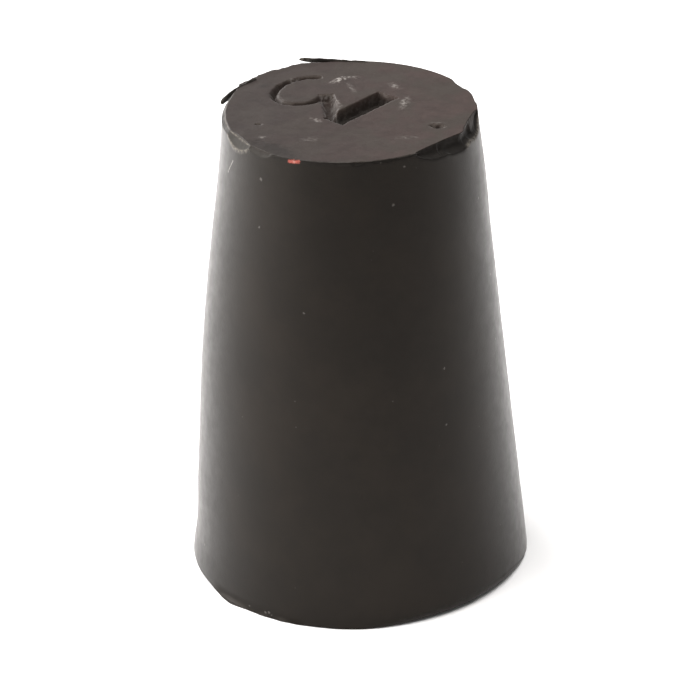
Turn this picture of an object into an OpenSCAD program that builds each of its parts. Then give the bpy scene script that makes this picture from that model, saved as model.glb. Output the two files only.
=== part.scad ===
// Solid rubber stopper for the neck of a laboratory bottle or flask.
// It is one moulded piece: a tapered plug that stands on its wide end, with a size
// figure sunk into the narrow end, and hand-trimmed edges that still carry flash.
// Millimetres. +Z runs up the plug's axis, and the origin is the centre of the wide end.
// Azimuths are degrees about +Z, counted from +X towards +Y.

/* [Plug] */
// Diameter across the narrow end
narrow_d = 15; // [12.5:0.5:18.5]
// Diameter across the wide end
wide_d = 20.5; // [18.5:0.5:32]
// Height from end to end
body_h = 29; // [18:0.5:60]
// Radius of the edge round the narrow end
narrow_edge_r = 0.12; // [0.05:0.01:0.3]
// Radius of the edge round the wide end
wide_edge_r = 0.35; // [0.1:0.05:0.8]

/* [Size figure] */
// Depth of the figure's straight strokes
stroke_depth = 0.7; // [0.3:0.05:1.2]
// Depth of the five's loop
loop_depth = 0.5; // [0.2:0.05:1.2]
// Width of the one
one_w = 1.5; // [0.8:0.05:1.8]
// Length of the one
one_l = 4.8; // [3:0.1:5.4]
// Width of the five's upright
upright_w = 0.95; // [0.5:0.05:1.2]
// Length of the five's upright
upright_l = 3.4; // [2.6:0.1:4]
// Width of the five's loop stroke
loop_w = 0.6; // [0.3:0.05:0.9]
// Radius of the loop's tight side, to the middle of the stroke
loop_r = 1.43; // [1:0.01:1.8]
// Radius of the loop's open side, to the middle of the stroke
loop_tail_r = 2.55; // [2:0.05:2.8]

/* [Flash] */
// Thickness of the flash strips that have peeled off the narrow edge
flash_t = 0.16; // [0.1:0.01:0.3]
// Height of those strips where they leave the edge
flash_h = 0.34; // [0.2:0.02:0.6]
// How far the flash left on an edge stands out of the flank
flash_reach = 0.16; // [0.05:0.01:0.3]
// How far the flash on the narrow edge stands above the narrow end
flash_lip = 0.06; // [0.02:0.02:0.2]

/* [Marks] */
// Radius of the air-bubble pit in the narrow end
pit_r = 0.36; // [0.2:0.02:0.6]
// Distance of the pit's centre from the narrow end's edge
pit_inset = 1.75; // [1:0.05:3]

/* [Hidden] */
$fn = 96;

narrow_r = narrow_d / 2;
wide_r = wide_d / 2;
// Angle between the flank and the axis
flank = atan2(wide_r - narrow_r, body_h);
// Straight steps that make up the arc of an edge
edge_steps = 6;
// How far a cut runs past the surface it opens
over = 1;
// Side of the block that a trimming cut takes away
block = narrow_d;

// The figure's strokes: where each is centred on the narrow end, and how it is turned
one_at = [0.44, 0.27];
one_turn = 46.6;
upright_at = [-1.12, 0.75];
upright_turn = -84;
// Where the loop's round strokes end: the tight one in the upright, the open one free
loop_end = 338;
tail_end = 88;
// The loop is placed so that its tight side always ends in the upright's left side
upright_left = upright_at[0] - upright_w / 2;
loop_at = [upright_left - loop_r * cos(loop_end), 2.5];

// Trimmed facets of the narrow edge: [azimuth, how far in on the end, how far down the flank]
narrow_trims = [[-155, 0.42, 0.75], [-133, 0.24, 0.4], [47, 0.3, 0.45], [8, 0.2, 0.5]];
// Trimmed facets of the wide edge, as above but up the flank
wide_trims = [[-42, 0.55, 0.4], [-14, 0.3, 0.35]];
// Torn hollows under the narrow edge: [azimuth, how deep, how far below the end, radius]
tears = [[-40, 0.4, 0.55, 0.9], [-24, 0.62, 0.6, 1.0], [-6, 0.34, 0.55, 0.8]];
// Flash left standing on an edge: [from azimuth, to azimuth]
narrow_flash = [112, 140];
wide_flash = [-160, -118];
// Peeled strips: [azimuth of the root, length, rise in degrees]
peeled = [[91, 2.9, 4], [144, 2.7, 1]];
// How deep a peeled strip is rooted in the edge
root_depth = 0.3;
pit_azimuth = -28;

// Radius of the flank at height z
function flank_r(z) = wide_r - (wide_r - narrow_r) * z / body_h;

// Points along an arc, from one angle to another
function arc(centre, r, from, to) = [
    for (i = [0:edge_steps])
        let (angle = from + (to - from) * i / edge_steps)
            centre + r * [cos(angle), sin(angle)]
];

// Half section: a straight flank that meets the rounded edge at each end on a tangent
module half_section() {
    wide_cx = wide_r - wide_edge_r * (1 + sin(flank)) / cos(flank);
    narrow_cx = narrow_r - narrow_edge_r * (1 - sin(flank)) / cos(flank);
    polygon(concat(
        [[0, 0]],
        arc([wide_cx, wide_edge_r], wide_edge_r, -90, flank),
        arc([narrow_cx, body_h - narrow_edge_r], narrow_edge_r, flank, 90),
        [[0, body_h]]
    ));
}

module plug() {
    rotate_extrude()
        half_section();
}

// One straight stroke of the size figure
module stroke(at, turn, length, width) {
    translate([at[0], at[1], body_h - stroke_depth])
        rotate([0, 0, turn])
            translate([-length / 2, -width / 2, 0])
                cube([length, width, stroke_depth + over]);
}

// One round stroke of the size figure, from one angle to another
module round_stroke(at, r, from, to) {
    translate([at[0], at[1], body_h - loop_depth])
        rotate([0, 0, from])
            rotate_extrude(angle = to - from)
                translate([r - loop_w / 2, 0])
                    square([loop_w, loop_depth + over]);
}

// A one and a five, seen from above with their feet towards +Y
module size_figure() {
    tail_at = [loop_at[0] - loop_r + loop_tail_r, loop_at[1]];
    stroke(one_at, one_turn, one_l, one_w);
    stroke(upright_at, upright_turn, upright_l, upright_w);
    round_stroke(loop_at, loop_r, 180, loop_end);
    round_stroke(tail_at, loop_tail_r, tail_end, 180);
}

// Block whose lower face runs from inset on the narrow end to drop down the flank
module narrow_trim(azimuth, inset, drop) {
    run = flank_r(body_h - drop) - narrow_r + inset;
    rotate([0, 0, azimuth])
        translate([narrow_r - inset, 0, body_h])
            rotate([0, atan2(drop, run), 0])
                translate([-over, -block / 2, 0])
                    cube(block);
}

// Block whose upper face runs from inset on the wide end to rise up the flank
module wide_trim(azimuth, inset, rise) {
    run = flank_r(rise) - wide_r + inset;
    rotate([0, 0, azimuth])
        translate([wide_r - inset, 0, 0])
            rotate([0, -atan2(rise, run), 0])
                translate([-over, -block / 2, -block])
                    cube(block);
}

// Hollow torn out of the flank just under the narrow edge
module tear(azimuth, depth, below, radius) {
    rotate([0, 0, azimuth])
        translate([flank_r(body_h - below) - depth + radius, 0, body_h - below])
            rotate([90, 0, 0])
                cylinder(r = radius, h = block, center = true);
}

// Shallow round pit, from a ball whose poles lie to the sides and clear of the rubber
module pit() {
    rotate([0, 0, pit_azimuth])
        translate([narrow_r - pit_inset, 0, body_h + pit_r / 3])
            rotate([90, 0, 0])
                sphere(r = pit_r);
}

// Flash left standing on an edge of the given radius, as a thin skirt from bottom to top
module standing_flash(span, bottom, top, edge_r) {
    rotate([0, 0, span[0]])
        rotate_extrude(angle = span[1] - span[0])
            polygon([
                [flank_r(bottom) - edge_r - root_depth, bottom],
                [flank_r(bottom) + flash_reach, bottom],
                [flank_r(top) + flash_reach / 2, top],
                [flank_r(top) - flash_t / 2, top]
            ]);
}

// Tapered strip that leaves the narrow edge along its tangent
module peeled_strip(azimuth, length, rise) {
    rotate([0, 0, azimuth])
        translate([narrow_r - flash_t, -root_depth, body_h + flash_lip - flash_h])
            rotate([rise, 0, 0])
                rotate([90, 0, 90])
                    linear_extrude(flash_t)
                        polygon([
                            [0, 0],
                            [length + root_depth, flash_h / 2],
                            [length + root_depth, flash_h],
                            [0, flash_h]
                        ]);
}

module stopper() {
    color("#2e2b28")
        difference() {
            union() {
                plug();
                standing_flash(narrow_flash, body_h - flash_h, body_h + flash_lip, narrow_edge_r);
                standing_flash(wide_flash, 0, flash_h, wide_edge_r);
                for (p = peeled)
                    peeled_strip(p[0], p[1], p[2]);
            }
            size_figure();
            pit();
            for (t = narrow_trims)
                narrow_trim(t[0], t[1], t[2]);
            for (t = wide_trims)
                wide_trim(t[0], t[1], t[2]);
            for (t = tears)
                tear(t[0], t[1], t[2], t[3]);
        }
}

stopper();
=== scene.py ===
import math

import bpy
import numpy as np
from mathutils import Matrix, Vector


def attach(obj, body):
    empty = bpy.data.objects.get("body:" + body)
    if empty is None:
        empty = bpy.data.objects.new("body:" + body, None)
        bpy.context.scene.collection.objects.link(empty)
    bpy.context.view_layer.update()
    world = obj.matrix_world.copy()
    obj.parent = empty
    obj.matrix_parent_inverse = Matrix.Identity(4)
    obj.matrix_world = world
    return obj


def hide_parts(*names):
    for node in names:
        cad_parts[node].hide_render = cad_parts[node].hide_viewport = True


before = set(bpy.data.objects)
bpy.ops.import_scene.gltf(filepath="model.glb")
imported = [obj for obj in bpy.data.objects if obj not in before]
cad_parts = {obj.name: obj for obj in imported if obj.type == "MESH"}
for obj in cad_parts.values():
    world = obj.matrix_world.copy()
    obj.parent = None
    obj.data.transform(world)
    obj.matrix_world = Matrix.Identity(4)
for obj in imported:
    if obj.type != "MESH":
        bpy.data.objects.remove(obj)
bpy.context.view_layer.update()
scene = bpy.context.scene
mm = 0.001  # everything below is in millimetres until it goes into a mesh

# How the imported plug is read: a face is level, or one of the flank's, by how far its normal rises
reading = {"level": 0.999, "flankLeast": 0.08, "flankMost": 0.11, "decimals": 3}


def readPlug(node):
    # the flank is the band of faces that all lean by one small angle: a straight line through their
    # corners gives its radius at any height, and the largest level face is the narrow end
    mesh = node.data
    count = len(mesh.polygons)
    normals, centres = np.zeros(count * 3), np.zeros(count * 3)
    areas, corners = np.zeros(count), np.zeros(count * 3, int)
    points = np.zeros(len(mesh.vertices) * 3)
    mesh.polygons.foreach_get("normal", normals)
    mesh.polygons.foreach_get("center", centres)
    mesh.polygons.foreach_get("area", areas)
    mesh.loops.foreach_get("vertex_index", corners)
    mesh.vertices.foreach_get("co", points)
    lean = normals.reshape(-1, 3)[:, 2]
    level = lean > reading["level"]
    sloping = (lean > reading["flankLeast"]) & (lean < reading["flankMost"])
    heights = np.round(centres.reshape(-1, 3)[:, 2] / mm, reading["decimals"])
    levels, which = np.unique(heights[level], return_inverse=True)
    top = levels[np.bincount(which, areas[level]).argmax()]
    flank = points.reshape(-1, 3)[corners.reshape(-1, 3)[sloping].ravel()] / mm
    slope, wide = np.polyfit(flank[:, 2], np.hypot(flank[:, 0], flank[:, 1]), 1)
    return float(top), float(wide), float(wide + slope * top)


height, wideRadius, narrowRadius = readPlug(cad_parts["stopper"])
taper = (wideRadius - narrowRadius) / height
print("plug read: %.2f high, %.2f and %.2f mm radius" % (height, wideRadius, narrowRadius))


def smooth(x):
    # the usual ease curve, flat at 0 and at 1
    x = np.clip(x, 0, 1)
    return x * x * (3 - 2 * x)


# The lattice that all the noise is read from: its corners each way before it repeats, and a shift
# that keeps cells of different sizes from lining up at the plug's axis
lattice = {"corners": 32, "shift": 50}


def lumps(points, cell, seed):
    # value noise: random numbers from -1 to 1 on a cubic lattice, eased between its corners
    table = np.random.default_rng(seed).random((lattice["corners"],) * 3) * 2 - 1
    place = (points + lattice["shift"]) / cell
    base = np.floor(place).astype(int)
    part = smooth(place - base)
    total = np.zeros(points.shape[:-1])
    for corner in np.ndindex(2, 2, 2):
        at = (base + corner) % lattice["corners"]
        share = np.prod(np.where(np.array(corner) == 1, part, 1 - part), axis=-1)
        total += share * table[at[..., 0], at[..., 1], at[..., 2]]
    return total


def layers(points, noises):
    # noises of several sizes added up, each with its strength, its cell and its seed
    return sum(strength * lumps(points, cell, seed) for strength, cell, seed in noises)


def around(azimuth, radius, cell, seed):
    # the same noise along a ring of that radius, so it closes on itself
    ring = np.stack([np.cos(azimuth), np.sin(azimuth), np.zeros_like(azimuth)], axis=-1)
    return lumps(ring * radius, cell, seed)


def turnTo(azimuth, centre):
    # signed angle in degrees from centre to each azimuth, always the short way round
    return (np.degrees(azimuth) - centre + 180) % 360 - 180


def meshFrom(name, points, faceGroups, marks):
    # faceGroups are whole arrays of corner numbers, one array for each number of sides, and marks
    # has one row for each point
    loops = np.concatenate([group.ravel() for group in faceGroups])
    sides = np.concatenate([np.full(len(group), group.shape[1]) for group in faceGroups])
    mesh = bpy.data.meshes.new(name)
    mesh.vertices.add(len(points))
    mesh.vertices.foreach_set("co", (points * mm).astype(np.float32).ravel())
    mesh.loops.add(len(loops))
    mesh.loops.foreach_set("vertex_index", loops.astype(np.int32))
    mesh.polygons.add(len(sides))
    mesh.polygons.foreach_set("loop_start", (np.cumsum(sides) - sides).astype(np.int32))
    mesh.update(calc_edges=True)
    mesh.shade_smooth()
    for label, values in zip(skinMarks, marks.T):
        mesh.attributes.new(label, "FLOAT", "POINT").data.foreach_set("value", values.astype(np.float32))
    piece = bpy.data.objects.new(name, mesh)
    scene.collection.objects.link(piece)
    return piece


# The narrow edge. Each cut is centred on an azimuth and reaches its half width to either side:
# inset is how far it eats into the end, drop how far down the flank, and power 1 is a straight
# knife cut while less than 1 has steep ends. Hollow scoops the whole face of the cut, ledge lifts
# its upper half and scoops its lower one, ragged is how far its outline wanders, and fray is the
# pale line along its top or its foot. Between the cuts the edge has its small round, which wavers by
# noises of a cell and a seed each. The lip is thin flash: it starts a little in from the rim, goes
# out and up, and its root reaches down the flank.
narrowEdge = {
    "round": 0.06,
    "waver": 0.02,
    "insetWaver": (0.9, 11),
    "dropWaver": (0.7, 12),
    "tearing": {"coarse": 0.6, "coarseSeed": 20, "fine": 0.2, "fineSeed": 60, "fineShare": 0.35, "onDrop": 2},
    "plain": {"inset": 0, "drop": 0, "power": 1, "hollow": 0, "ledge": 0, "ragged": 0.03,
              "torn": 0, "trimmed": 0, "frayTop": 0, "frayLow": 0},
    "cuts": {
        "thinBevelLeft": {"azimuth": -178, "half": 27, "inset": 0.21, "drop": 0.26, "power": 0.35,
                          "ragged": 0.03, "trimmed": 0.2, "frayTop": 0.8},
        "deepBevelLeft": {"azimuth": -151, "half": 11.5, "inset": 0.33, "drop": 0.62, "power": 0.75,
                          "ragged": 0.03, "trimmed": 1, "frayTop": 1, "frayLow": 1},
        "nickLeft": {"azimuth": -134, "half": 9, "inset": 0.12, "drop": 0.36, "power": 0.9,
                     "hollow": 0.02, "torn": 0.5, "trimmed": 0.4},
        # the front crease: its pale top line is a painted highlight along the rim, and its torn dark a
        # painted shade just under it
        "creaseFront": {"azimuth": -92, "half": 36, "inset": 0.03, "drop": 0.12, "power": 0.5,
                        "hollow": 0.025, "ragged": 0.04, "torn": 0.8, "frayTop": 0.35},
        "tearFront": {"azimuth": -45, "half": 16, "inset": 0.44, "drop": 0.72, "power": 0.8,
                      "hollow": 0.2, "ragged": 0.02, "torn": 1},
        "undercut": {"azimuth": -31, "half": 16, "inset": 0.1, "drop": 1.0, "power": 0.6,
                     "hollow": 0.3, "ragged": 0.02, "torn": 1},
        "tearRight": {"azimuth": -15.5, "half": 13, "inset": 0.38, "drop": 1.02, "power": 0.7,
                      "hollow": 0.14, "ledge": 0.03, "ragged": 0.05, "torn": 1, "frayLow": 1},
        "shaveRight": {"azimuth": 9, "half": 7, "inset": 0.1, "drop": 0.2, "trimmed": 0.2},
        "shaveBack": {"azimuth": 27, "half": 9, "inset": 0.22, "drop": 0.26, "power": 0.9,
                      "trimmed": 0.2},
    },
    "lip": {"from": 99, "easeIn": 10, "to": 156, "easeOut": 12, "rise": 0.03, "out": 0.36, "root": 0.3,
            "starts": 0.94, "over": 0.06, "coarse": (0.9, 90), "coarseShare": 0.3, "fine": (0.22, 91),
            "fineShare": 0.25, "mean": 0.8, "least": 0.2, "most": 1.3},
}
# How the end and the edge meet. The end follows the cuts by a high power, so only near its rim, and
# the brink is the last of the end, as a share of the way out. A cut is whole where it is cutFull
# deeper than the round. The rest are shares of the way over the edge: where the bloom has faded out,
# where the pale lines lie, and how far down a ledge keeps some of the bloom.
edgeLook = {
    "follow": 8,
    "cutFull": 0.1,
    "brink": 0.985,
    "brinkOver": 0.015,
    "brinkCut": 0.5,
    "brinkFray": 0.7,
    "bloomTo": 0.6,
    "frayTop": 0.17,
    "frayTopReach": 0.13,
    "frayLow": 0.86,
    "frayLowOver": 0.14,
    "ledgeFull": 0.03,
    "ledgeBloom": 0.5,
    "ledgeTo": 0.6,
    "ledgeOver": 0.25,
    "tornNoise": ((0.035, 0.6, 7), (0.012, 0.22, 8)),
    "trimmedNoise": ((0.012, 0.35, 9),),
}
# The wide edge: nearly sharp in front, worn rounder on the right in front and on the left, and with
# flash left on it in front on the left. Under is how far in its round reaches below, in radii. Full
# steepens the flash's ends, and mean and ragged are how much of it stands and how much that varies.
wideEdge = {
    "round": 0.08,
    "waver": 0.05,
    "waverNoise": (0.7, 13),
    "under": 1.1,
    # painted shade: the torn dark laid round the whole foot edge
    "torn": 0.8,
    "fray": (0.05, 0.12),
    "worn": [
        {"azimuth": -48, "half": 42, "more": 0.78},
        {"azimuth": -168, "half": 24, "more": 0.26},
    ],
    "flash": {"azimuth": -130, "half": 22, "out": 0.05, "full": 1.6, "mean": 0.75, "ragged": 0.6,
              "noise": (0.4, 16), "peak": -140, "peakHalf": 8, "peakOut": 0.17},
}


def swellAt(azimuth, z):
    # how far the flank stands out or in there: each swell is an eased bump in azimuth and in height
    out = np.zeros_like(azimuth)
    for swell in body["swells"]:
        out += (swell["out"] * smooth(1 - abs(turnTo(azimuth, swell["azimuth"])) / swell["half"])
                * smooth(1 - abs(z - swell["z"]) / swell["reach"]))
    return out


def lipAt(azimuth):
    # the thin flash that flares out of part of the narrow edge: eased in and out, and ragged
    lip = narrowEdge["lip"]
    turn = np.degrees(azimuth) % 360
    ends = smooth((turn - lip["from"]) / lip["easeIn"]) * smooth((lip["to"] - turn) / lip["easeOut"])
    coarse, fine = (around(azimuth, narrowRadius, *lip[kind]) for kind in ("coarse", "fine"))
    ragged = lip["mean"] + lip["coarseShare"] * coarse + lip["fineShare"] * fine
    return ends * np.clip(ragged, lip["least"], lip["most"])


def narrowCuts(azimuth):
    # for each azimuth, the deepest cut there: a parabola over its width, raised to the cut's power
    found, tearing = {}, narrowEdge["tearing"]
    for label in ("inset", "drop"):
        waver = around(azimuth, narrowRadius, *narrowEdge[label + "Waver"])
        found[label] = narrowEdge["round"] + narrowEdge["waver"] * waver
    for number, named in enumerate(narrowEdge["cuts"].values()):
        cut = {**narrowEdge["plain"], **named}
        lobe = np.clip(1 - (turnTo(azimuth, cut["azimuth"]) / cut["half"]) ** 2, 0, 1) ** cut["power"]
        for label, share in (("inset", 1), ("drop", tearing["onDrop"])):
            coarse = around(azimuth, narrowRadius, tearing["coarse"], tearing["coarseSeed"] * share + number)
            fine = around(azimuth, narrowRadius, tearing["fine"], tearing["fineSeed"] * share + number)
            ragged = share * cut["ragged"] * (coarse + tearing["fineShare"] * fine)
            found[label] = np.maximum(found[label], lobe * (cut[label] + ragged))
        for label in ("hollow", "ledge", "torn", "trimmed", "frayTop", "frayLow"):
            found[label] = np.maximum(found.get(label, 0), cut[label] * smooth(lobe * 2))
    found["lip"] = lipAt(azimuth)
    found["drop"] = np.maximum(found["drop"], narrowEdge["lip"]["root"] * found["lip"])
    return found


# The sunk size figure, a one and a five. Strokes are straight bars and arcs on the narrow end: wall
# is how wide the sloping side of a stroke is and ragged how far it wanders. The next is painted shade,
# how much of the pale bloom is taken out inside it, and the last a painted highlight, how pale its
# sides are painted.
figure = {
    "bars": [
        {"at": (0.7, 0.24), "turn": 48.4, "length": 4.95, "width": 1.5, "depth": 0.7, "wall": 0.12,
         "ragged": 0.03, "bare": 1, "wallHighlight": 0.1},
        {"at": (-1.12, 0.75), "turn": -84, "length": 3.4, "width": 1.0, "depth": 0.5, "wall": 0.36,
         "ragged": 0.06, "bare": 0.4, "wallHighlight": 0.35},
    ],
    "arcs": [
        {"at": (-2.92, 2.5), "radius": 1.43, "from": 180, "to": 338, "width": 0.58, "depth": 0.42,
         "wall": 0.34, "ragged": 0.05, "bare": 0.6, "wallHighlight": 0},
        {"at": (-1.8, 2.5), "radius": 2.55, "from": 88, "to": 180, "width": 0.5, "depth": 0.4,
         "wall": 0.25, "ragged": 0.06, "bare": 0.7, "wallHighlight": 0},
    ],
}
# Marks on the narrow end: place, half length and half width, turn, how far up or down they go, how
# pale they are scuffed, and how much of the bloom is wiped off. What a mark leaves out is nought.
plainMark = {"turn": 0, "rise": 0, "scuff": 0, "wipedAndShade": 0}
endMarks = {
    "pit": {"at": (5.07, -2.7), "size": (0.36, 0.24), "turn": -20, "rise": -0.26, "wipedAndShade": 1},
    "pitBrow": {"at": (5.1, -2.25), "size": (0.4, 0.12), "turn": -10, "rise": 0.02, "scuff": 0.2},
    "nickLeft": {"at": (-5.22, -1.75), "size": (0.18, 0.12), "rise": -0.1, "wipedAndShade": 0.8},
    "smearLeft": {"at": (-5.0, 3.97), "size": (0.34, 0.22), "turn": 30, "wipedAndShade": 0.5},
    "scuffByLoop": {"at": (-0.5, 4.55), "size": (0.62, 0.26), "turn": 43, "rise": 0.01, "scuff": 1.3},
    "scuffBeside": {"at": (0.46, 4.85), "size": (0.28, 0.2), "turn": 60, "rise": 0.01, "scuff": 0.6},
    "trailBelow": {"at": (0.22, 3.25), "size": (0.7, 0.16), "turn": -74, "scuff": 0.4},
    "smudgeBack": {"at": (2.7, 3.4), "size": (0.6, 0.26), "turn": -62, "scuff": 0.55},
    "smudgeRight": {"at": (3.3, 0.85), "size": (0.8, 0.26), "turn": 75, "rise": 0.01, "scuff": 0.6},
    "smudgeByLoop": {"at": (-3.1, 4.75), "size": (0.3, 0.3), "scuff": 0.35},
    "rubbedFoot": {"at": (-1.95, -1.26), "size": (0.42, 0.18), "turn": -40, "rise": -0.03, "scuff": 0.7},
    "rubbedStem": {"at": (-0.62, 1.2), "size": (0.85, 0.13), "turn": -74, "rise": 0.01, "scuff": 0.45},
    "tickLeft": {"at": (-2.25, -4.03), "size": (0.45, 0.3), "scuff": 0.3},
    "tickFarLeft": {"at": (-4.99, -3.58), "size": (0.22, 0.2), "scuff": 0.4},
    "tickRight": {"at": (3.2, -4.15), "size": (0.6, 0.2), "scuff": 0.3},
    # painted shade: the bloom taken out near the front rim on the left, where the end turns darker
    "paintedShadeFront": {"at": (-4.3, -5.4), "size": (1.7, 0.75), "turn": -38, "rise": -0.01, "wipedAndShade": 0.6},
}
# The noises on the narrow end, each a strength, a cell and a seed: on its flat, on what is sunk into
# it, along the sides of the strokes and round the marks. Full is how wide a mark's own oval is.
endNoise = {
    "flat": ((0.02, 3.1, 1), (0.008, 0.9, 2), (0.003, 0.28, 3)),
    "sunk": ((0.05, 0.6, 4), (0.02, 0.25, 5)),
    "stroke": ((1, 0.4, 17), (0.5, 0.18, 18)),
    "mark": ((0.35, 0.22, 6),),
    "markFull": 1.4,
}


def barSide(x, y, bar):
    # distance to the side of a straight stroke, less than zero inside it
    turn = math.radians(bar["turn"])
    dx, dy = x - bar["at"][0], y - bar["at"][1]
    along = abs(dx * math.cos(turn) + dy * math.sin(turn)) - bar["length"] / 2
    across = abs(dy * math.cos(turn) - dx * math.sin(turn)) - bar["width"] / 2
    return np.hypot(np.maximum(along, 0), np.maximum(across, 0)) + np.minimum(np.maximum(along, across), 0)


def arcSide(x, y, arc):
    # the same for a round stroke: off its circle within its angles, and off its ends beyond them
    dx, dy = x - arc["at"][0], y - arc["at"][1]
    turn = np.degrees(np.arctan2(dy, dx)) % 360
    within = (turn >= arc["from"]) & (turn <= arc["to"])
    ends = [np.hypot(dx - arc["radius"] * math.cos(end), dy - arc["radius"] * math.sin(end))
            for end in (math.radians(arc["from"]), math.radians(arc["to"]))]
    return np.where(within, abs(np.hypot(dx, dy) - arc["radius"]), np.minimum(*ends)) - arc["width"] / 2


def endRelief(x, y):
    # height over the flat narrow end: slow and fine waves, less the deepest stroke, plus each mark
    # as an eased oval; with it, the painted shade inside the strokes, how scuffed the skin is together
    # with the painted highlight on the strokes' sides, and how wiped it is together with the painted
    # shade near the front rim
    flat = np.stack([x, y, np.zeros_like(x)], axis=-1)
    sunk, inside, bare, scuff, wipedAndShade = (np.zeros_like(x) for _ in range(5))
    wander = layers(flat, endNoise["stroke"])
    for stroke, side in ([(bar, barSide(x, y, bar)) for bar in figure["bars"]]
                         + [(arc, arcSide(x, y, arc)) for arc in figure["arcs"]]):
        into = smooth((-side + stroke["ragged"] * wander) / stroke["wall"])
        sunk = np.maximum(sunk, stroke["depth"] * into)
        inside = np.maximum(inside, into)
        # painted shade inside each stroke: the bloom is taken out there
        bare = np.maximum(bare, stroke["bare"] * into)
        # painted highlight along the sloping sides of the strokes, laid in with the scuffs
        scuff = np.maximum(scuff, stroke["wallHighlight"] * 4 * into * (1 - into))  # most half way down its side
    z = layers(flat, endNoise["flat"])
    z += inside * layers(flat, endNoise["sunk"]) - sunk
    wander = layers(flat, endNoise["mark"])
    for named in endMarks.values():
        mark = {**plainMark, **named}
        turn = math.radians(mark["turn"])
        dx, dy = x - mark["at"][0], y - mark["at"][1]
        along = (dx * math.cos(turn) + dy * math.sin(turn)) / mark["size"][0]
        across = (dy * math.cos(turn) - dx * math.sin(turn)) / mark["size"][1]
        oval = smooth(endNoise["markFull"] - np.hypot(along, across) + wander)
        z += mark["rise"] * oval
        scuff = np.maximum(scuff, mark["scuff"] * oval)
        wipedAndShade = np.maximum(wipedAndShade, mark["wipedAndShade"] * oval)
    return z, bare, scuff, wipedAndShade


# The moulded body: cells across the narrow end, rings down its edge, its flank and its foot, and the
# two under it as shares of its radius. Crowd is a power that draws the flank's rings up to the edge,
# and settle is the height over which the flank's unevenness starts and ends. The flank swells, or
# with out below nought sinks, and the looks of the edge run down it by their lengths.
body = {
    "cells": 216,
    "edgeRings": 18,
    "flankRings": 64,
    "crowd": 1.35,
    "footRings": 12,
    "underRings": (0.86, 0.5),
    "settle": 1.2,
    "tornDown": 0.3,
    "frayDown": 0.25,
    "trimmedDown": 0.12,
    "swells": [
        {"azimuth": 180, "half": 75, "z": 14.5, "reach": 11, "out": 0.22},
        {"azimuth": 180, "half": 70, "z": 27.5, "reach": 7, "out": -0.14},
        {"azimuth": 180, "half": 60, "z": 2.5, "reach": 3, "out": -0.1},
        {"azimuth": 0, "half": 60, "z": 25.2, "reach": 4, "out": 0.07},
    ],
    "uneven": 0.012,
    "unevenNoise": ((1, 5, 14), (0.6, 1.6, 15)),
}
# How much of each finish the skin has, where 1 is all of it; some of them also carry painted shade
# and painted highlights
skinMarks = ("end", "bare", "scuff", "torn", "trimmed", "fray")


def discGrid(cells):
    # a square grid bent onto the unit disc: the larger coordinate is the radius, the other one's
    # share of it the angle within that quarter. The last array walks the edge anticlockwise.
    line = np.linspace(-1, 1, cells + 1)
    u, v = (side.ravel() for side in np.meshgrid(line, line, indexing="ij"))
    wide = abs(u) >= abs(v)
    big, small = np.where(wide, u, v), np.where(wide, v, u)
    quarter = math.pi / 4 * small / np.where(big == 0, 1, big)
    x = big * np.where(wide, np.cos(quarter), np.sin(quarter))
    y = big * np.where(wide, np.sin(quarter), np.cos(quarter))
    number = np.arange((cells + 1) ** 2).reshape(cells + 1, cells + 1)
    quads = np.stack([number[:-1, :-1], number[1:, :-1], number[1:, 1:], number[:-1, 1:]], axis=-1)
    edge = np.concatenate([number[:-1, 0], number[-1, :-1], number[:0:-1, -1], number[0, :0:-1]])
    return x, y, quads.reshape(-1, 4), edge


def bend(start, corner, end, share):
    # a curve from start to end that leans towards the corner, for every azimuth at once
    return (1 - share) ** 2 * start + 2 * share * (1 - share) * corner + share ** 2 * end


def ringPoints(turn, radius, z):
    # a point at each angle, at its own radius and height
    return np.stack([radius * np.cos(turn), radius * np.sin(turn), z], axis=-1)


def ringQuads(first, second):
    # the band of faces between an upper ring and the one below it
    return np.stack([first, second, np.roll(second, -1), np.roll(first, -1)], axis=-1)


def markRows(shape, **values):
    # one row of skin marks for each point, with nought for those not named
    return np.stack([np.broadcast_to(values.get(label, 0), shape) for label in skinMarks], axis=-1)


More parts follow.
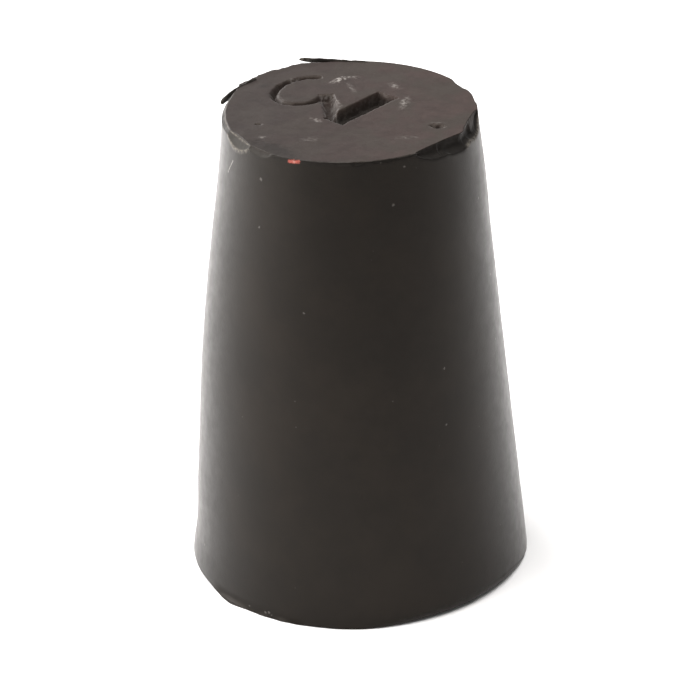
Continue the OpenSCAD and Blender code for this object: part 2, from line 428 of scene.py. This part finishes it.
def buildBody():
    # the narrow end as a disc, then rings that walk out over its edge, down the flank, round the
    # foot and in to the middle of the wide end, so that the skin is closed
    x, y, quads, edge = discGrid(body["cells"])
    share, azimuth = np.hypot(x, y), np.arctan2(y, x)
    cuts, lip = narrowCuts(azimuth), narrowEdge["lip"]
    flare = cuts["lip"] * smooth((share - lip["starts"]) / lip["over"])
    outline = swellAt(azimuth, height) - cuts["inset"]
    radius = share * narrowRadius + outline * share ** edgeLook["follow"] + lip["out"] * flare
    x, y = radius * np.cos(azimuth), radius * np.sin(azimuth)
    relief, bare, scuff, wipedAndShade = endRelief(x, y)
    relief += lip["rise"] * flare
    brink = smooth((share - edgeLook["brink"]) / edgeLook["brinkOver"])
    points = [np.stack([x, y, height + relief], axis=-1)]
    marks = [markRows(x.shape, bare=bare, scuff=scuff,
                      end=(1 - wipedAndShade) * (1 - edgeLook["brinkFray"] * cuts["frayTop"] * brink),
                      torn=edgeLook["brinkCut"] * cuts["torn"] * brink,
                      trimmed=edgeLook["brinkCut"] * cuts["trimmed"] * brink)]
    groups = {3: [], 4: [quads], 5: []}  # faces by their number of sides
    total, ring = len(x), edge

    # over the narrow edge: a cut's face is the chord from its top to its foot, hollowed at its
    # middle, and where there is no cut the curve leans to the edge's own corner. A torn or trimmed
    # face is rough across the chord, less so at its two ends.
    turn = azimuth[edge]
    cut = {label: values[edge] for label, values in cuts.items()}
    topRadius, topZ = radius[edge], height + relief[edge]
    lowZ = height - cut["drop"]
    lowRadius = narrowRadius + taper * cut["drop"] + swellAt(turn, lowZ)
    chord = np.hypot(lowRadius - topRadius, topZ - lowZ)
    outR, outZ = (topZ - lowZ) / chord, (lowRadius - topRadius) / chord
    deepest = np.maximum(cut["inset"], cut["drop"])
    flat = smooth((deepest - 2 * narrowEdge["round"]) / edgeLook["cutFull"])
    middleR = (topRadius + lowRadius) / 2 - 2 * cut["hollow"] * outR
    middleZ = (topZ + lowZ) / 2 - 2 * cut["hollow"] * outZ
    cornerR = (1 - flat) * (narrowRadius + swellAt(turn, height)) + flat * middleR
    cornerZ = (1 - flat) * height + flat * middleZ
    ledge = np.clip(cut["ledge"] / edgeLook["ledgeFull"], 0, 1) * edgeLook["ledgeBloom"]
    for step in np.arange(1, body["edgeRings"] + 1) / body["edgeRings"]:
        ringR, ringZ = bend(topRadius, cornerR, lowRadius, step), bend(topZ, cornerZ, lowZ, step)
        place = ringPoints(turn, ringR, ringZ)
        rough = layers(place, edgeLook["tornNoise"]) * cut["torn"]
        rough += layers(place, edgeLook["trimmedNoise"]) * cut["trimmed"]
        rough = rough * math.sin(math.pi * step) ** 0.5 + cut["ledge"] * math.sin(2 * math.pi * step)
        points.append(ringPoints(turn, ringR + rough * outR, ringZ + rough * outZ))
        onLedge = ledge * smooth((edgeLook["ledgeTo"] - step) / edgeLook["ledgeOver"])
        fray = cut["frayTop"] * smooth(1 - abs(step - edgeLook["frayTop"]) / edgeLook["frayTopReach"])
        fray += cut["frayLow"] * smooth((step - edgeLook["frayLow"]) / edgeLook["frayLowOver"])
        end = np.maximum(1 - smooth(step / edgeLook["bloomTo"]), onLedge)
        marks.append(markRows(turn.shape, end=end, torn=cut["torn"] * (1 - onLedge),
                              trimmed=cut["trimmed"], fray=fray))
        lower = total + np.arange(len(turn))
        groups[4].append(ringQuads(ring, lower))
        total, ring = total + len(turn), lower

    # down the flank, on every second corner: the first band steps from fine to coarse
    fine, turn = ring, turn[::2]
    topZ, torn, trimmed, frayLow = lowZ[::2], cut["torn"][::2], cut["trimmed"][::2], cut["frayLow"][::2]
    footRound = wideEdge["round"] + wideEdge["waver"] * around(turn, wideRadius, *wideEdge["waverNoise"])
    for worn in wideEdge["worn"]:
        footRound += worn["more"] * smooth(1 - (turnTo(turn, worn["azimuth"]) / worn["half"]) ** 2)
    steps = np.arange(1, body["flankRings"] + 1) / body["flankRings"]
    for number, step in enumerate(steps ** body["crowd"]):
        ringZ = topZ + (footRound - topZ) * step
        ringR = wideRadius - taper * ringZ
        below = topZ - ringZ
        uneven = body["uneven"] * layers(ringPoints(turn, ringR, ringZ), body["unevenNoise"])
        uneven = smooth(below / body["settle"]) * uneven + swellAt(turn, ringZ)
        ringR += smooth((ringZ - footRound) / body["settle"]) * uneven
        points.append(ringPoints(turn, ringR, ringZ))
        marks.append(markRows(turn.shape, torn=torn * smooth(1 - below / body["tornDown"]),
                              trimmed=trimmed * smooth(1 - below / body["trimmedDown"]),
                              fray=frayLow * smooth(1 - below / body["frayDown"])))
        lower = total + np.arange(len(turn))
        if number == 0:
            corners = [fine[::2], lower, np.roll(lower, -1), np.roll(fine[::2], -1), fine[1::2]]
            groups[5].append(np.stack(corners, axis=-1))
        else:
            groups[4].append(ringQuads(ring, lower))
        total, ring = total + len(turn), lower

    # round the foot, with the flash pulled out of its corner
    flash = wideEdge["flash"]
    lobe = np.clip(1 - (turnTo(turn, flash["azimuth"]) / flash["half"]) ** 2, 0, 1)
    reach = flash["out"] * smooth(flash["full"] * lobe)
    reach *= flash["mean"] + flash["ragged"] * around(turn, wideRadius, *flash["noise"])
    reach += flash["peakOut"] * smooth(1 - abs(turnTo(turn, flash["peak"])) / flash["peakHalf"])
    startR, endR = wideRadius - taper * footRound, wideRadius - footRound * wideEdge["under"]
    for step in np.arange(1, body["footRings"] + 1) / body["footRings"]:
        ringR, ringZ = bend(startR, wideRadius + 2 * reach, endR, step), bend(footRound, 0, 0, step)
        points.append(ringPoints(turn, ringR, ringZ))
        # the foot's round takes the torn dark as painted shade
        marks.append(markRows(turn.shape, torn=wideEdge["torn"], fray=np.clip(reach, *wideEdge["fray"])))
        lower = total + np.arange(len(turn))
        groups[4].append(ringQuads(ring, lower))
        total, ring = total + len(turn), lower

    # in across the wide end to its middle
    for share in body["underRings"]:
        points.append(ringPoints(turn, share * endR, 0 * turn))
        marks.append(markRows(turn.shape))
        lower = total + np.arange(len(turn))
        groups[4].append(ringQuads(ring, lower))
        total, ring = total + len(turn), lower
    points.append(np.zeros((1, 3)))
    marks.append(markRows((1,)))
    groups[3].append(np.stack([ring, np.full_like(ring, total), np.roll(ring, -1)], axis=-1))

    faces = [np.concatenate(groups[sides]) for sides in (3, 4, 5)]
    return meshFrom("stopperBody", np.concatenate(points), faces, np.concatenate(marks))


# The flash strips that have peeled off the narrow edge: where each leaves it and how far round it
# runs; its radius there and how far out it swings; its height over the end there and how much it
# climbs; and how thick and tall it is, how much of that it loses, and how pale its free end is
strips = {
    "flashStripBack": {"from": 80, "span": 30.3, "root": -0.18, "out": 0.99, "curl": 2.2, "base": -0.15,
                       "climb": 0.2, "thick": 0.2, "tall": 0.4, "taper": 0.4, "paleEnd": 0.9, "seed": 31},
    "flashStripLeft": {"from": 137, "span": 27.5, "root": -0.14, "out": 0.37, "curl": 1.1, "base": -0.1,
                       "climb": -0.12, "thick": 0.25, "tall": 0.4, "taper": 0.1, "paleEnd": 0.45, "seed": 32},
}
# What both strips share: their grid, the powers by which they thin, climb and round off at the ends,
# how ragged they are, and how bloomed and torn they look
stripForm = {
    "stations": 60,
    "corners": 20,
    "thinPower": 1.5,
    "climbPower": 1.2,
    "endPower": 16,
    "endOpen": 0.995,  # a little under 1, so that the last ring is small but not a point
    "ragged": 0.25,
    "raggedCell": 0.35,
    "bloom": 0.15,
    "torn": 0.5,
    "paleFrom": 0.75,
    "paleOver": 0.25,
}


def buildStrip(name, strip):
    # a flat oval carried along a curl that leaves the edge on a tangent, smaller towards its free
    # end, rounded off and closed at both ends
    stations, corners = stripForm["stations"], stripForm["corners"]
    corner = np.arange(corners) * 2 * math.pi / corners
    along, turn = np.meshgrid(np.linspace(0, 1, stations), corner, indexing="ij")
    azimuth = np.radians(strip["from"] + strip["span"] * along)
    girth = 1 - strip["taper"] * along ** stripForm["thinPower"]
    girth = girth * np.sqrt(1 - (stripForm["endOpen"] * (2 * along - 1)) ** stripForm["endPower"])
    radius = narrowRadius + strip["root"] + strip["out"] * along ** strip["curl"]
    z = height + strip["base"] + strip["climb"] * along ** stripForm["climbPower"]
    place = np.stack([azimuth * narrowRadius, np.cos(turn), np.sin(turn)], axis=-1)
    ragged = 1 + stripForm["ragged"] * lumps(place, stripForm["raggedCell"], strip["seed"])
    radius = radius + strip["thick"] / 2 * girth * ragged * np.cos(turn)
    z = z + strip["tall"] / 2 * girth * ragged * np.sin(turn)
    grid = ringPoints(azimuth, radius, z)
    ends = np.stack([grid[0].mean(axis=0), grid[-1].mean(axis=0)])
    number = np.arange(stations * corners).reshape(stations, corners)
    across = np.roll(number, -1, axis=1)
    quads = np.stack([number[:-1], number[1:], across[1:], across[:-1]], axis=-1).reshape(-1, 4)
    root = np.stack([np.full(corners, stations * corners), number[0], across[0]], axis=-1)
    tip = np.stack([np.full(corners, stations * corners + 1), across[-1], number[-1]], axis=-1)
    points = np.concatenate([grid.reshape(-1, 3), ends])
    free = np.append(along.ravel(), [0, 1])
    pale = strip["paleEnd"] * smooth((free - stripForm["paleFrom"]) / stripForm["paleOver"])
    marks = markRows((len(points),), end=stripForm["bloom"], torn=stripForm["torn"], fray=pale)
    return meshFrom(name, points, [np.concatenate([root, tip]), quads], marks)


print("building the body")
stopperBody = buildBody()
print("building the flash strips")
flashStrips = [buildStrip(name, strip) for name, strip in strips.items()]


# Black rubber: its own dark, the pale bloom on the narrow end, and how it looks torn, trimmed,
# frayed and scuffed, with painted shade and painted highlights laid into some of these. A pattern has
# its cell in millimetres, its detail and its roughness. A span is where a pattern starts and ends to
# show, and with four numbers also how much it shows there.
# roughWorn and roughEnd are how much rougher the worn skin and the bloomed end are.
rubber = {
    "dark": (0.0032, 0.0027, 0.0022),
    "warm": (0.0058, 0.0045, 0.0034),
    "bloomWarm": (0.0272, 0.0157, 0.0134),
    "bloomGrey": (0.0188, 0.0139, 0.0107),
    "torn": (0.003, 0.0026, 0.0023),
    "trimmed": (0.016, 0.0148, 0.0125),
    "frayed": (0.15, 0.135, 0.115),
    "scuffed": (0.2, 0.182, 0.168),
    "scratched": (0.3, 0.28, 0.26),
    "redSpeck": (0.34, 0.08, 0.06),
    "redPale": (0.55, 0.33, 0.28),
    "specular": 0.185,
    "specularTint": (1, 0.88, 0.78),
    "sheen": 0.155,
    "sheenTint": (1, 0.95, 0.92),
    "sheenRough": 0.35,
    "rough": 0.34,
    "roughVary": 0.05,
    "roughWorn": 0.26,
    "roughEnd": 0.24,
    "mottle": (3.5, 4, 0.6),
    "patch": (0.7, 3, 0.6),
    "tint": (2.2, 2, 0.5),
    "grain": (0.16, 3, 0.6),
    "dust": (0.22, 3, 0.7),
    "soft": (0.8, 3, 0.5),
    "warmSpan": (0.35, 0.7),
    "bloomSpan": (0.3, 0.75, 0.68, 0.9),
    "paintedShadeAcross": (-7, 7, 0.5, 1.1),  # in millimetres across: painted shade, the bloom's colour darker towards the left of the end
    "bareSpan": (0.1, 1, 1, 0.1),
    "greySpan": (0.42, 0.6),
    "tornShare": 0.9,
    "trimmedSpan": (0.3, 0.7, 0.55, 0.9),
    "fraySpan": (0.37, 0.6, 0.12, 0.8),
    "scuffSpan": (0.43, 0.63),
    "roughSpan": (0.25, 0.75),
    "grainHeight": 0.003,
    "softShare": 0.9,
    "dustShare": 2,
    "speckShare": 1.5,
}
# How the specks look: how far and how finely their outlines wander, how much of the radius is
# solid, how strong each kind is, and the tiny ones, at most one to a cell
speckLook = {
    "wander": 0.16,
    "wanderScale": 9,
    "solid": 0.4,
    "pale": 0.3,
    "scratched": 0.6,
    "redSpan": (0.3, 0.6, 0.6, 1),
    "redCore": 0.8,
    "redPale": 0.3,
    "tinyCell": 1.1,
    "tinySpan": (0.055, 0.025),
    "tinyPatches": (0.48, 0.56),
    "tiny": 0.15,
}
# Pale specks and nicks on the flank: azimuth, height from the foot, and radius
flankSpecks = [
    (-72, 26.25, 0.11), (-66, 28.4, 0.09), (-110, 19.8, 0.08), (-54, 15.6, 0.1), (-55, 12.1, 0.08),
    (-21.6, 24.5, 0.12), (-16, 19.3, 0.1), (-19, 15.3, 0.09), (-169, 5.9, 0.14), (-161, 2.1, 0.12),
    (-132, 27.3, 0.13), (-132, 24.4, 0.1), (-124.3, 0.3, 0.09), (-122.9, 0.36, 0.1),
    (-121.8, 0.26, 0.07), (-131, 0.34, 0.07), (63, 21.5, 0.1), (118, 9.4, 0.12), (20, 6.3, 0.1),
    (150, 17, 0.09),
]
# The pale scratch under the left of the narrow edge, and the flat red speck on its front: from and
# to are azimuth and height from the foot, and core is the bead that holds the speck's paler middle
scratch = {"from": (-153, 27.5), "to": (-157.5, 26.6), "radius": 0.065, "beads": 13}
redSpeck = {"from": (-117, 28.82), "to": (-112.8, 28.88), "radius": 0.15, "beads": 5, "core": 2}


def onFlank(azimuth, z):
    # the point of the swelled flank at that azimuth in degrees and that height
    turn = math.radians(azimuth)
    radius = wideRadius - taper * z + float(swellAt(turn, z))
    return Vector((radius * math.cos(turn), radius * math.sin(turn), z))


def beads(line):
    # dots spread evenly from one point on the flank to another
    start, end = onFlank(*line["from"]), onFlank(*line["to"])
    return [(start.lerp(end, share), line["radius"]) for share in np.linspace(0, 1, line["beads"])]


blackRubber = bpy.data.materials.new("blackRubber")
blackRubber.use_nodes = True
rubberTree = blackRubber.node_tree


def addNode(kind, inputs, output=0, **settings):
    # add a shader node to the rubber, and return the socket that the next one takes
    made = rubberTree.nodes.new(kind)
    for name, value in settings.items():
        setattr(made, name, value)
    for slot, value in inputs.items():
        if isinstance(value, bpy.types.NodeSocket):
            rubberTree.links.new(value, made.inputs[slot])
        else:
            made.inputs[slot].default_value = value
    return made.outputs[output]


def maths(operation, first, second=0.0):
    return addNode("ShaderNodeMath", {0: first, 1: second}, operation=operation)


def times(first, second):
    return maths("MULTIPLY", first, second)


def most(first, second):
    return maths("MAXIMUM", first, second)


def span(value, low, high, toLow=0.0, toHigh=1.0):
    # ease from toLow to toHigh while the value goes from low to high
    return addNode("ShaderNodeMapRange", {0: value, 1: low, 2: high, 3: toLow, 4: toHigh},
                   interpolation_type="SMOOTHSTEP")


def noise(place, cell, detail, roughness):
    return addNode("ShaderNodeTexNoise", {"Vector": place, "Scale": 1 / cell, "Detail": detail,
                                          "Roughness": roughness})


def mixed(share, first, second):
    # sockets 6 and 7 of a colour mix are its two colours, and output 2 is what comes of them
    return addNode("ShaderNodeMix", {0: share, 6: first, 7: second}, output=2, data_type="RGBA")


def paint(skin, share, name):
    # lay one of the rubber's colours over the skin
    return mixed(share, skin, (*rubber[name], 1))


def near(place, dots):
    # a mask of dots, each a centre and a radius, with soft outlines. The place has been pushed by a
    # wander of nought and up, so each centre moves by its mean.
    mean = Vector((speckLook["wander"] / 2,) * 3)
    mask = 0.0
    for centre, radius in dots:
        away = addNode("ShaderNodeVectorMath", {0: place, 1: centre + mean}, output="Value",
                       operation="DISTANCE")
        mask = most(mask, span(away, radius, radius * speckLook["solid"]))
    return mask


def makeRubber():
    shader = rubberTree.nodes["Principled BSDF"]
    shader.inputs["Specular IOR Level"].default_value = rubber["specular"]
    shader.inputs["Specular Tint"].default_value = (*rubber["specularTint"], 1)
    shader.inputs["Sheen Weight"].default_value = rubber["sheen"]
    shader.inputs["Sheen Tint"].default_value = (*rubber["sheenTint"], 1)
    shader.inputs["Sheen Roughness"].default_value = rubber["sheenRough"]
    metres = addNode("ShaderNodeTexCoord", {}, output="Object")
    place = addNode("ShaderNodeMapping", {"Vector": metres, "Scale": (1 / mm,) * 3})
    mark = {label: addNode("ShaderNodeAttribute", {}, output="Fac", attribute_name=label)
            for label in skinMarks}
    slow, patch, tint, grain, dust, soft = (noise(place, *rubber[name]) for name in
                                            ("mottle", "patch", "tint", "grain", "dust", "soft"))

    # the rubber's own two darks, the bloom over the narrow end in its two with painted shade in it, and
    # what is worn or cut, which also carries painted shade and painted highlights
    skin = mixed(span(slow, *rubber["warmSpan"]), (*rubber["dark"], 1), (*rubber["warm"], 1))
    across = addNode("ShaderNodeSeparateXYZ", {0: place})
    bloomWithShade = times(mark["end"], span(patch, *rubber["bloomSpan"]))
    # painted shade: the bloom darkened towards the left of the end
    bloomWithShade = times(bloomWithShade, span(across, *rubber["paintedShadeAcross"]))
    # painted shade in the strokes: less bloom where they are sunk
    bloomWithShade = times(bloomWithShade, span(mark["bare"], *rubber["bareSpan"]))
    skin = paint(skin, bloomWithShade, "bloomWarm")
    skin = paint(skin, times(bloomWithShade, span(tint, *rubber["greySpan"])), "bloomGrey")
    # the torn dark, also laid as painted shade along the front crease and round the foot
    skin = paint(skin, times(mark["torn"], rubber["tornShare"]), "torn")
    skin = paint(skin, times(mark["trimmed"], span(patch, *rubber["trimmedSpan"])), "trimmed")
    # pale fray lines, with the painted highlight along the front rim among them
    skin = paint(skin, times(mark["fray"], span(dust, *rubber["fraySpan"])), "frayed")
    # scuffs, with the painted highlight on the strokes' sides among them
    skin = paint(skin, times(mark["scuff"], span(dust, *rubber["scuffSpan"])), "scuffed")

    # the specks on the flank, the scratch, the red speck with its paler core, and the tiny specks
    # that are scattered over everything
    wander = addNode("ShaderNodeTexNoise", {"Vector": place, "Scale": speckLook["wanderScale"]},
                     output="Color")
    wander = addNode("ShaderNodeVectorMath", {0: wander, "Scale": speckLook["wander"]}, operation="SCALE")
    ragged = addNode("ShaderNodeVectorMath", {0: place, 1: wander}, operation="ADD")
    specks = near(ragged, [(onFlank(azimuth, z), radius) for azimuth, z, radius in flankSpecks])
    scratched = near(ragged, beads(scratch))
    red = near(ragged, beads(redSpeck))
    middle, radius = beads(redSpeck)[redSpeck["core"]]
    core = near(ragged, [(middle, radius * speckLook["redCore"])])
    cells = addNode("ShaderNodeTexVoronoi", {"Vector": place, "Scale": 1 / speckLook["tinyCell"]})
    tiny = times(span(cells, *speckLook["tinySpan"]), span(slow, *speckLook["tinyPatches"]))
    pale = most(times(specks, speckLook["pale"]), times(tiny, speckLook["tiny"]))
    skin = paint(skin, pale, "scuffed")
    skin = paint(skin, times(scratched, speckLook["scratched"]), "scratched")
    skin = paint(skin, times(red, span(dust, *speckLook["redSpan"])), "redSpeck")
    skin = paint(skin, times(core, speckLook["redPale"]), "redPale")
    rubberTree.links.new(skin, shader.inputs["Base Color"])

    # rougher where it is worn or bloomed
    worn = most(most(mark["torn"], mark["trimmed"]), most(mark["bare"], mark["scuff"]))
    least, greatest = rubber["rough"] - rubber["roughVary"], rubber["rough"] + rubber["roughVary"]
    rough = span(patch, *rubber["roughSpan"], least, greatest)
    rough = maths("ADD", rough, times(worn, rubber["roughWorn"]))
    rough = maths("ADD", rough, times(bloomWithShade, rubber["roughEnd"]))
    rubberTree.links.new(rough, shader.inputs["Roughness"])

    # the moulded grain, with dust that stands on what is worn, and the flank's specks sunk into it
    relief = maths("ADD", grain, times(soft, rubber["softShare"]))
    dusty = times(dust, most(mark["fray"], mark["scuff"]))
    relief = maths("ADD", relief, times(dusty, rubber["dustShare"]))
    relief = maths("SUBTRACT", relief, times(specks, rubber["speckShare"]))
    bump = addNode("ShaderNodeBump", {"Strength": 1, "Distance": rubber["grainHeight"] * mm,
                                      "Height": relief})
    rubberTree.links.new(bump, shader.inputs["Normal"])


makeRubber()
for piece in [stopperBody, *flashStrips]:
    piece.data.materials.append(blackRubber)
    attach(piece, "root")
    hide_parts("stopper")
print("rubber on %d pieces" % (1 + len(flashStrips)))


# The pale sweep that it stands on, and the light round it: a plain room, and soft panels placed by
# azimuth, elevation and distance
floor = {"half": 900, "colour": (0.87, 0.857, 0.848), "rough": 0.7, "specular": 0}
room = {"colour": (1, 1, 1), "strength": 0.25}
panels = {
    "panelLeft": {"azimuth": 188, "elevation": 28, "away": 150, "size": (200, 150), "power": 0.42},
    "panelBackLeft": {"azimuth": 135, "elevation": 30, "away": 180, "size": (180, 120), "power": 0.36},
    "panelRight": {"azimuth": 15, "elevation": 62, "away": 190, "size": (160, 140), "power": 0.12},
    "panelTop": {"azimuth": -90, "elevation": 84, "away": 320, "size": (300, 300), "power": 1.2},
}


def makeStage():
    half = floor["half"] * mm
    corners = [(-half, -half, 0), (half, -half, 0), (half, half, 0), (-half, half, 0)]
    mesh = bpy.data.meshes.new("paleFloor")
    mesh.from_pydata(corners, [], [(0, 1, 2, 3)])
    ground = bpy.data.objects.new("paleFloor", mesh)
    scene.collection.objects.link(ground)
    material = bpy.data.materials.new("palePaper")
    material.use_nodes = True
    shader = material.node_tree.nodes["Principled BSDF"]
    shader.inputs["Base Color"].default_value = (*floor["colour"], 1)
    shader.inputs["Roughness"].default_value = floor["rough"]
    shader.inputs["Specular IOR Level"].default_value = floor["specular"]
    mesh.materials.append(material)


def makeLight():
    scene.world = bpy.data.worlds.new("brightRoom")
    scene.world.use_nodes = True
    sky = scene.world.node_tree.nodes["Background"]
    sky.inputs["Color"].default_value = (*room["colour"], 1)
    sky.inputs["Strength"].default_value = room["strength"]
    middle = Vector((0, 0, height / 2 * mm))
    for name, panel in panels.items():
        lamp = bpy.data.lights.new(name, "AREA")
        lamp.shape = "RECTANGLE"
        lamp.size, lamp.size_y = panel["size"][0] * mm, panel["size"][1] * mm
        lamp.energy = panel["power"]
        turn, lift = math.radians(panel["azimuth"]), math.radians(panel["elevation"])
        outward = Vector((math.cos(turn) * math.cos(lift), math.sin(turn) * math.cos(lift), math.sin(lift)))
        light = bpy.data.objects.new(name, lamp)
        light.location = middle + outward * panel["away"] * mm
        light.rotation_euler = (-outward).to_track_quat("-Z", "Y").to_euler()
        scene.collection.objects.link(light)


# The camera stands in front and above. It aims a little to the left of and below the plug's
# middle, and leans to its right. It sees nothing nearer or farther than its last two values.
camera = {
    "elevation": 26.571,
    "away": 228.4,
    "lens": 196.3,
    "lean": 1.588,
    "aside": -0.302,
    "above": -1.002,
    "nearest": 10,
    "farthest": 10000,
}


def makeCamera():
    lift = math.radians(camera["elevation"])
    middle = Vector((0, 0, height / 2))
    back = Vector((0, -math.cos(lift), math.sin(lift)))
    up = Vector((0, math.sin(lift), math.cos(lift)))
    stand = middle + back * camera["away"]
    aim = middle + Vector((camera["aside"], 0, 0)) + up * camera["above"]
    data = bpy.data.cameras.new("camera")
    data.lens = camera["lens"]
    data.clip_start, data.clip_end = camera["nearest"] * mm, camera["farthest"] * mm
    eye = bpy.data.objects.new("camera", data)
    eye.location = stand * mm
    eye.rotation_mode = "QUATERNION"
    toAim = (aim - stand).to_track_quat("-Z", "Y")
    eye.rotation_quaternion = toAim @ Matrix.Rotation(math.radians(-camera["lean"]), 3, "Z").to_quaternion()
    scene.collection.objects.link(eye)
    scene.camera = eye


makeStage()
makeLight()
makeCamera()
scene.view_settings.view_transform = "Standard"
print("stage, light and camera ready")
